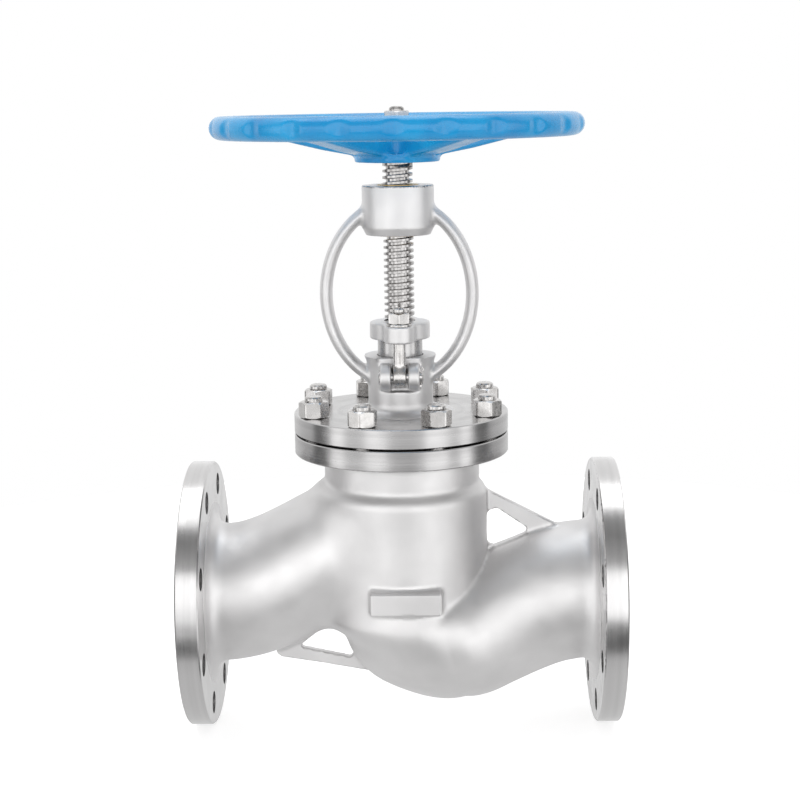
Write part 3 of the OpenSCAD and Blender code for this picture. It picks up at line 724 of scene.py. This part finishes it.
def make_handwheel():
    """The handwheel with its square hole and faced boss."""
    blank = cast("wheel_blank", wheel_skin, (-150, -150, WHEEL_LOW.z - 1), (150, 150, 388), 1.45, ENAMEL)
    half = 8.3
    square = [(half, half), (-half, half), (-half, -half), (half, -half)]
    low, high = WHEEL_LOW.z - 3, 380
    points = [(a, b, low) for a, b in square] + [(a, b, high) for a, b in square]
    faces = [(3, 2, 1, 0), (4, 5, 6, 7)] + [(i, (i + 1) % 4, 4 + (i + 1) % 4, 4 + i) for i in range(4)]
    broach = make("broach", points, faces, BRIGHT)
    boss = turned("tool", [(0, 376), (24, 376), (24, 380), (0, 380)], SHADED_STEM_FACED)
    wheel = combine(blank, "DIFFERENCE", [broach, boss], "handwheel_casting", 45.0)
    stand_for(wheel, "spindle", "blue_paint", "handwheel")
    low, high = extent("handwheel_washer")
    washer = turned("handwheel_washer_ring", washer_profile(15, 6.3, low.z, high.z), BRIGHT)
    stand_for(washer, "spindle", "polished_stainless", "handwheel_washer")
    low, high = extent("handwheel_nut")
    points, faces = hex_nut(19, high.z - low.z, 6.05, low.z)
    nut = make("handwheel_lock_nut", points, faces, BRIGHT)
    stand_for(nut, "spindle", "polished_stainless", "handwheel_nut")


def washer_profile(outer, bore, low, high, edge=0.4):
    """Section of a flat washer with broken edges."""
    return [(bore, low), (outer - edge, low), (outer, low + edge), (outer, high - edge), (outer - edge, high),
            (bore, high)]


# ---------------------------------------------------------------- stem
def square_ring(width, height, steps, corner):
    """A square ring whose corners stop at a round of that radius."""
    angle = np.arange(steps) * TURN / steps
    reach = width / 2 / np.maximum(np.abs(np.cos(angle)), np.abs(np.sin(angle)))
    return circle(np.minimum(reach, corner), height, steps)


def make_stem():
    """The stem: foot, groove, back-seat collar, trapezoidal thread, square and stud end."""
    steps = 64
    below = [(0, STEM_LOW.z), (10, STEM_LOW.z), (12, 35), (12, 37.9), (9, 37.9), (9, 42.1), (12, 42.1),
             (12, 63), (17, 66), (17, 70), (12, 75), (12, 216), (12, 218)]
    above = [circle(12, 348.4, steps), circle(11.4, 349, steps),
             square_ring(16.5, 349, steps, 11.2), square_ring(16.5, 374.4, steps, 11.2),
             square_ring(15.5, 375, steps, 10.5), circle(6, 375, steps), circle(6, STEM_HIGH.z - 2.2, steps),
             circle(5.4, STEM_HIGH.z - 1.0, steps), circle(4, STEM_HIGH.z - 0.2, steps),
             circle(2, STEM_HIGH.z, steps), circle(0, STEM_HIGH.z, steps)]
    points, faces = threaded_bar([circle(r, h, steps) for r, h in below], above,
                                 STEM_R, 2.75, 5.0, 218.3, 348.3, TRAPEZOID, steps)
    stem = make("rising_stem", points, faces, STEM_BAR, 28.0)
    stand_for(stem, "spindle", "polished_stainless", "stem")


# ---------------------------------------------------------------- studs and nuts in a ring
def fastener_ring_tree():
    """Geometry Nodes: copies a part round a circle, each copy turned by its own seeded amount."""
    tree = bpy.data.node_groups.new("fastener_ring", "GeometryNodeTree")
    wanted = [("Part", "NodeSocketGeometry"), ("Count", "NodeSocketInt"),
              ("Circle Radius", "NodeSocketFloat"),
              ("Centre", "NodeSocketVector"), ("First Angle", "NodeSocketVector"),
              ("Most Turn", "NodeSocketVector"), ("Seed", "NodeSocketInt"), ("Finish", "NodeSocketMaterial")]
    for label, kind in wanted:
        tree.interface.new_socket(label, in_out="INPUT", socket_type=kind)
    tree.interface.new_socket("Ring", in_out="OUTPUT", socket_type="NodeSocketGeometry")
    given = add(tree, "NodeGroupInput").outputs
    circle_points = add(tree, "GeometryNodeMeshCircle", {}, {"Vertices": given["Count"],
                                                             "Radius": given["Circle Radius"]})
    placed = add(tree, "GeometryNodeTransform", {}, {"Geometry": circle_points.outputs["Mesh"],
                                                     "Translation": given["Centre"],
                                                     "Rotation": given["First Angle"]})
    turn = add(tree, "FunctionNodeRandomValue", {"data_type": "FLOAT_VECTOR"},
               {"Max": given["Most Turn"], "Seed": given["Seed"]})
    rotation = add(tree, "FunctionNodeEulerToRotation", {}, {0: turn.outputs["Value"]})
    copies = add(tree, "GeometryNodeInstanceOnPoints", {}, {"Points": placed.outputs["Geometry"],
                                                            "Instance": given["Part"],
                                                            "Rotation": rotation.outputs[0]})
    solid = add(tree, "GeometryNodeRealizeInstances", {}, {"Geometry": copies.outputs["Instances"]})
    dressed = add(tree, "GeometryNodeSetMaterial", {}, {"Geometry": solid.outputs["Geometry"],
                                                        "Material": given["Finish"]})
    add(tree, "NodeGroupOutput", {}, {"Ring": dressed.outputs["Geometry"]})
    return tree


FASTENER_RING = fastener_ring_tree()


def ring_of_parts(name, part, count, radius, seed, finish, sharp=28.0):
    """Repeats a part drawn at the stem axis round a circle, and returns one plain mesh."""
    part.data.transform(Matrix.Translation((-STEM_X, 0, 0)))
    sockets = {item.name: item.identifier for item in FASTENER_RING.interface.items_tree
               if item.item_type == "SOCKET" and item.in_out == "INPUT"}
    change = part.modifiers.new("ring", "NODES")
    change.node_group = FASTENER_RING
    for label, value in (("Count", count), ("Circle Radius", radius * MM), ("Centre", (STEM_X, 0, 0)),
                         ("First Angle", (0, 0, TURN / count / 2)), ("Most Turn", (0, 0, TURN)),
                         ("Seed", seed), ("Finish", finish)):
        change[sockets[label]] = value
    return settle(part, name, sharp)


def stud_end(radius, pitch, low, high, thread_low, steps=28):
    """Points and faces of a stud whose upper end is threaded and chamfered."""
    below = [circle(r, h, steps) for r, h in
             ((0, low), (radius - 0.8, low), (radius, low + 0.8), (radius, thread_low - 0.5))]
    above = [circle(r, h, steps) for r, h in
             ((radius, high - 1.3), (radius - 0.9, high - 0.25), (radius - 1.8, high), (0, high))]
    return threaded_bar(below, above, radius, pitch * 0.55, pitch, thread_low, high - 1.4, VEE, steps)


def make_joint_fasteners():
    """Eight studs and nuts that hold the bonnet down."""
    low, high = extent("bonnet_studs")
    points, faces = stud_end(STUD_R, 2.0, low.z, high.z, COVER_TOP + 6)
    stud = make("stud", points, faces, BRIGHT, 28.0)
    studs = ring_of_parts("bonnet_stud_set", stud, STUD_COUNT, STUD_CIRCLE_R, 3, BRIGHT)
    stand_for(studs, "valve_body", "polished_stainless", "bonnet_studs")
    low, high = extent("bonnet_nuts")
    points, faces = hex_nut(21, high.z - low.z, STUD_R + 0.05, low.z)
    nut = make("nut", points, faces, BRIGHT, 28.0)
    nuts = ring_of_parts("bonnet_nut_set", nut, STUD_COUNT, STUD_CIRCLE_R, 11, BRIGHT)
    stand_for(nuts, "valve_body", "polished_stainless", "bonnet_nuts")


# ---------------------------------------------------------------- gland
def make_gland():
    """Gland flange, follower, washers, nuts, eyebolts, pins and split pins."""
    low, high = extent("gland_flange")

    def flange_skin(x, y, z):
        middle = drum(np.hypot(x, y), z, 24, low.z, high.z, 1.4)
        lobe = drum(np.hypot(x, np.maximum(np.abs(y) - EYE_Y, 0)), z, 11.5, low.z, high.z, 1.4)
        return soften(middle, lobe, 4)

    blank = cast("gland_blank", flange_skin, (-25, -42, low.z - 1), (25, 42, high.z + 1), 0.8, CAST)
    bore = [(0, low.z - 1), (12.5, low.z - 1), (12.5, high.z + 1), (0, high.z + 1)]
    cutters = [turned("tool", bore, SHADED_STEM_FACED)]
    cutters += drill_row("z", [(0, -EYE_Y), (0, EYE_Y)], 5.5, low.z - 1, high.z + 1, BRIGHT)
    flange = combine(blank, "DIFFERENCE", cutters, "gland_flange_casting", 35.0)
    stand_for(flange, "gland", "machined_stainless", "gland_flange")

    low, high = extent("gland_follower")
    sleeve = [(12.1, low.z), (17.4, low.z), (17.9, low.z + 0.5), (17.9, high.z), (12.1, high.z)]
    follower = turned("gland_follower_sleeve", sleeve, SHADED_STEM_FACED)
    stand_for(follower, "gland", "machined_stainless", "gland_follower")

    low, high = extent("gland_washers")
    pair = [turned("washer_%d" % side, washer_profile(10, 5.3, low.z, high.z, 0.3), BRIGHT, "z",
                   (0, side * EYE_Y, 0), 64) for side in (-1, 1)]
    washers = combine(pair[0], "UNION", pair[1:], "gland_washer_pair")
    stand_for(washers, "gland", "polished_stainless", "gland_washers")

    split_parts = []
    for side, label in ((-1, "front"), (1, "back")):
        nut_low, nut_high = extent("gland_nut_" + label)
        points, faces = hex_nut(16, nut_high.z - nut_low.z, 5.05, nut_low.z, 72)
        nut = make("gland_nut_%s_hexagon" % label, points + (0, side * EYE_Y, 0), faces, BRIGHT, 28.0)
        stand_for(nut, label + "_nut", "polished_stainless", "gland_nut_" + label)
        make_eyebolt(side, label)
        make_eyebolt_pin(side, label)
        split_parts.append(split_pin(side))
    pins = combine(split_parts[0], "UNION", split_parts[1:], "split_pin_pair", 45.0)
    stand_for(pins, "valve_body", "polished_stainless", "split_pins")


def make_eyebolt(side, label):
    """An eyebolt: a forged round eye that hangs on its pin, and a shank threaded at the top."""
    top = extent("eyebolt_" + label)[1].z

    def eye_skin(x, y, z):
        eye = drum(np.hypot(y - side * EYE_Y, z - PIN_Z), np.abs(x), 8.5, -5, 5, 1.0)
        shank = np.maximum(np.hypot(x, y - side * EYE_Y) - 5, np.maximum(PIN_Z - z, z - 203))
        return soften(eye, shank, 4)

    eye = cast("eye", eye_skin, (-6, side * EYE_Y - 9.5, 172), (6, side * EYE_Y + 9.5, 204), 0.55, BRIGHT)
    pin_hole = drill_row("x", [(side * EYE_Y, PIN_Z)], PIN_HOLE_R, -8, 8, BRIGHT)
    eye = combine(eye, "DIFFERENCE", pin_hole, "eye", 35.0)
    points, faces = stud_end(5.0, 1.5, 200, top, 212)
    shank = make("shank", points + (0, side * EYE_Y, 0), faces, BRIGHT, 28.0)
    bolt = combine(shank, "UNION", [eye], "eyebolt_%s_forging" % label, 32.0)
    stand_for(bolt, "valve_body", "polished_stainless", "eyebolt_" + label)


def make_eyebolt_pin(side, label):
    """The pin through the ears and the eye, with a flat head on the left."""
    low, high = extent("eyebolt_pin_" + label)
    head_in = -15.55
    profile = [(0, low.x), (5.5, low.x), (6, low.x + 0.5), (6, head_in), (4, head_in),
               (4, high.x - 0.8), (3.2, high.x), (0, high.x)]
    pin = turned("eyebolt_%s_pin" % label, profile, BRIGHT, "x", (0, side * EYE_Y, PIN_Z), 48)
    stand_for(pin, "valve_body", "polished_stainless", "eyebolt_pin_" + label)


def split_pin(side):
    """A split pin: a loop above the eyebolt pin, and two legs bent apart below it."""
    x, y = 16.9, side * EYE_Y
    wire = 0.75
    loop = [(x + 1.5 * math.sin(t), y, PIN_Z + 6.2 - 1.9 * math.cos(t))
            for t in np.linspace(0.25, TURN - 0.25, 22)]
    parts = []
    for lean in (-1, 1):
        offset = wire * 0.55 * lean
        leg = [(x + offset * 0.6, y, PIN_Z + 4.3), (x + offset, y, PIN_Z + 2), (x + offset, y, PIN_Z - 3.5),
               (x + offset, y + 0.4 * lean, PIN_Z - 4.6), (x + offset, y + 1.6 * lean, PIN_Z - 5.8),
               (x + offset, y + 3.2 * lean, PIN_Z - 6.4), (x + offset, y + 4.6 * lean, PIN_Z - 6.1)]
        parts.append(make("leg", *sweep(leg, wire), BRIGHT, 45.0))
    ring = make("loop", *sweep(loop, wire), BRIGHT, 45.0)
    return combine(ring, "UNION", parts, "split_pin", 45.0)


# ---------------------------------------------------------------- pieces inside
def make_packing():
    """Five graphite rings, which the gland flattens towards the bottom of the stuffing box."""
    for i in range(1, 6):
        node = "packing_ring_%d" % i
        low, high = extent(node)
        inner, outer = 12.1, 17.95
        edge = 0.5
        section = [(inner, low.z + edge), (inner + edge, low.z), (outer - edge, low.z),
                   (outer, low.z + edge), (outer, high.z - edge), (outer - edge, high.z),
                   (inner + edge, high.z), (inner, high.z - edge)]
        ring = turned(node + "_graphite", section, GRAPHITE)
        stand_for(ring, "valve_body", "graphite", node)
        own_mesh(ring)


def finish_frame_nodes():
    """Finishes for the frame's own pieces, whose shapes stay as they are."""
    wear = {"seat_ring": HARD, "body_gasket": GRAPHITE, "back_seat_bush": HARD, "packing_washer": SHADED_STEM_FACED,
            "stem_nut": BRONZE, "stem_nut_screw": BRIGHT, "disc": SHADED_STEM_FACED, "disc_thrust_pad": HARD,
            "disc_split_ring": SHADED_STEM_FACED, "disc_nut": SHADED_STEM_FACED, "disc_nut_pin": BRIGHT}
    for node, material in wear.items():
        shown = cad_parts[node]
        for place in shown.material_slots:
            place.link = "OBJECT"
            place.material = material


# ---------------------------------------------------------------- floor and light
FLOOR_R = 0.9
STUDIO_STRENGTH = 1.75
# brightness by the angle up and over: dark low in front, white wall, dark screen, white behind
STUDIO_RING = ((-180, 0.6), (-160, 0.42), (-60, 0.4), (-44, 0.36), (-38, 0.09), (-16, 0.1), (-7, 0.9),
               (28, 1.0), (34, 0.3), (60, 0.15), (86, 0.24), (98, 0.56), (160, 0.58), (180, 0.62))
# boxes and screens: azimuth from the front, from and to; climb, from and to; softness; brightness
SOFT_BOXES = ((-78, -8, -24, 2, 4, 0.55), (18, 82, -24, 2, 4, 0.55), (-80, -62, -26, 24, 3, 1.0),
              (-38, -15, -26, 24, 3, 1.0), (26, 52, -26, 24, 3, 1.0), (66, 80, -26, 24, 3, 1.0),
              (-106, -84, -40, 26, 4, 0.12), (86, 108, -40, 26, 4, 0.12))


def set_the_stage():
    """A round white floor under the flanges, a soft box overhead, and a white studio with dark screens.
    The floor is left out of reflections, where the studio's own lower half shows instead."""
    angles = [i * TURN / 96 for i in range(96)]
    floor_z = BODY_LOW.z * MM
    mesh = bpy.data.meshes.new("floor")
    mesh.from_pydata([(STEM_X + FLOOR_R * math.cos(a), FLOOR_R * math.sin(a), floor_z) for a in angles],
                     [], [tuple(range(96))])
    mesh.materials.append(VINYL)
    floor = bpy.data.objects.new("floor", mesh)
    bpy.context.scene.collection.objects.link(floor)
    floor.visible_glossy = False
    floor.visible_diffuse = False
    floor.visible_shadow = False
    light = bpy.data.lights.new("overhead_box", "AREA")
    light.shape = "RECTANGLE"
    light.size = 1.6
    light.size_y = 1.3
    light.energy = 9.0
    box = bpy.data.objects.new("overhead_box", light)
    box.location = (0.0, 0.25, 1.9)
    box.visible_camera = False
    box.rotation_euler = (Vector((STEM_X, 0, 0.1)) - box.location).to_track_quat("-Z", "Y").to_euler()
    bpy.context.scene.collection.objects.link(box)
    world = bpy.data.worlds.new("studio")
    bpy.context.scene.world = world
    world.use_nodes = True
    tree = world.node_tree
    tree.nodes.clear()
    ray = add(tree, "ShaderNodeTexCoord").outputs["Generated"]
    parts = add(tree, "ShaderNodeSeparateXYZ", {}, {0: ray}).outputs
    forward = add(tree, "ShaderNodeMath", {"operation": "MULTIPLY", 1: -1.0}, {0: parts["Y"]}).outputs[0]
    # the angle up and over, from in front (0) through overhead (90) to behind (180)
    over = add(tree, "ShaderNodeMath", {"operation": "ARCTAN2"}, {0: parts["Z"], 1: forward}).outputs[0]
    level = add(tree, "ShaderNodeMath", {"operation": "ARCTAN2"}, {0: parts["X"], 1: forward}).outputs[0]
    climb = add(tree, "ShaderNodeMath", {"operation": "ARCSINE"}, {0: parts["Z"]}).outputs[0]
    share = add(tree, "ShaderNodeMapRange", {1: -math.pi, 2: math.pi}, {0: over}).outputs[0]
    room = add(tree, "ShaderNodeValToRGB", {}, {0: share})
    stops = room.color_ramp.elements
    first, last = STUDIO_RING[0], STUDIO_RING[-1]
    for stop, (degrees, grey) in ((stops[0], first), (stops[1], last)):
        stop.position = (degrees + 180) / 360
        stop.color = (grey, grey, grey, 1)
    for degrees, grey in STUDIO_RING[1:-1]:
        stops.new((degrees + 180) / 360).color = (grey, grey, grey, 1)
    shown = room.outputs[0]
    for left, right, low, high, soft, grey in SOFT_BOXES:
        masks = []
        for angle, start, end in ((level, left, right), (climb, low, high)):
            edges = []
            for outer, inner in ((start - soft, start + soft), (end + soft, end - soft)):
                edge = add(tree, "ShaderNodeMapRange", {"interpolation_type": "SMOOTHSTEP",
                                                        1: math.radians(outer), 2: math.radians(inner)},
                           {0: angle})
                edges.append(edge.outputs[0])
            rise, fall = edges
            mask = add(tree, "ShaderNodeMath", {"operation": "MULTIPLY"}, {0: rise, 1: fall})
            masks.append(mask.outputs[0])
        both = add(tree, "ShaderNodeMath", {"operation": "MULTIPLY"}, {0: masks[0], 1: masks[1]})
        shown = add(tree, "ShaderNodeMix", {"data_type": "RGBA", 7: (grey, grey, grey, 1)},
                    {0: both.outputs[0], 6: shown}).outputs[2]
    lit = add(tree, "ShaderNodeBackground", {"Strength": STUDIO_STRENGTH}, {"Color": shown})
    white = add(tree, "ShaderNodeBackground", {"Color": (1, 1, 1, 1), "Strength": 1.0})
    seen = add(tree, "ShaderNodeLightPath").outputs["Is Camera Ray"]
    mixed = add(tree, "ShaderNodeMixShader", {}, {0: seen, 1: lit.outputs[0], 2: white.outputs[0]})
    add(tree, "ShaderNodeOutputWorld", {}, {"Surface": mixed.outputs[0]})
    bpy.context.scene.view_settings.view_transform = "Standard"


aim_camera()
set_the_stage()
make_body()
make_bonnet()
make_joint_fasteners()
make_gland()
make_stem()
make_handwheel()
make_packing()
finish_frame_nodes()
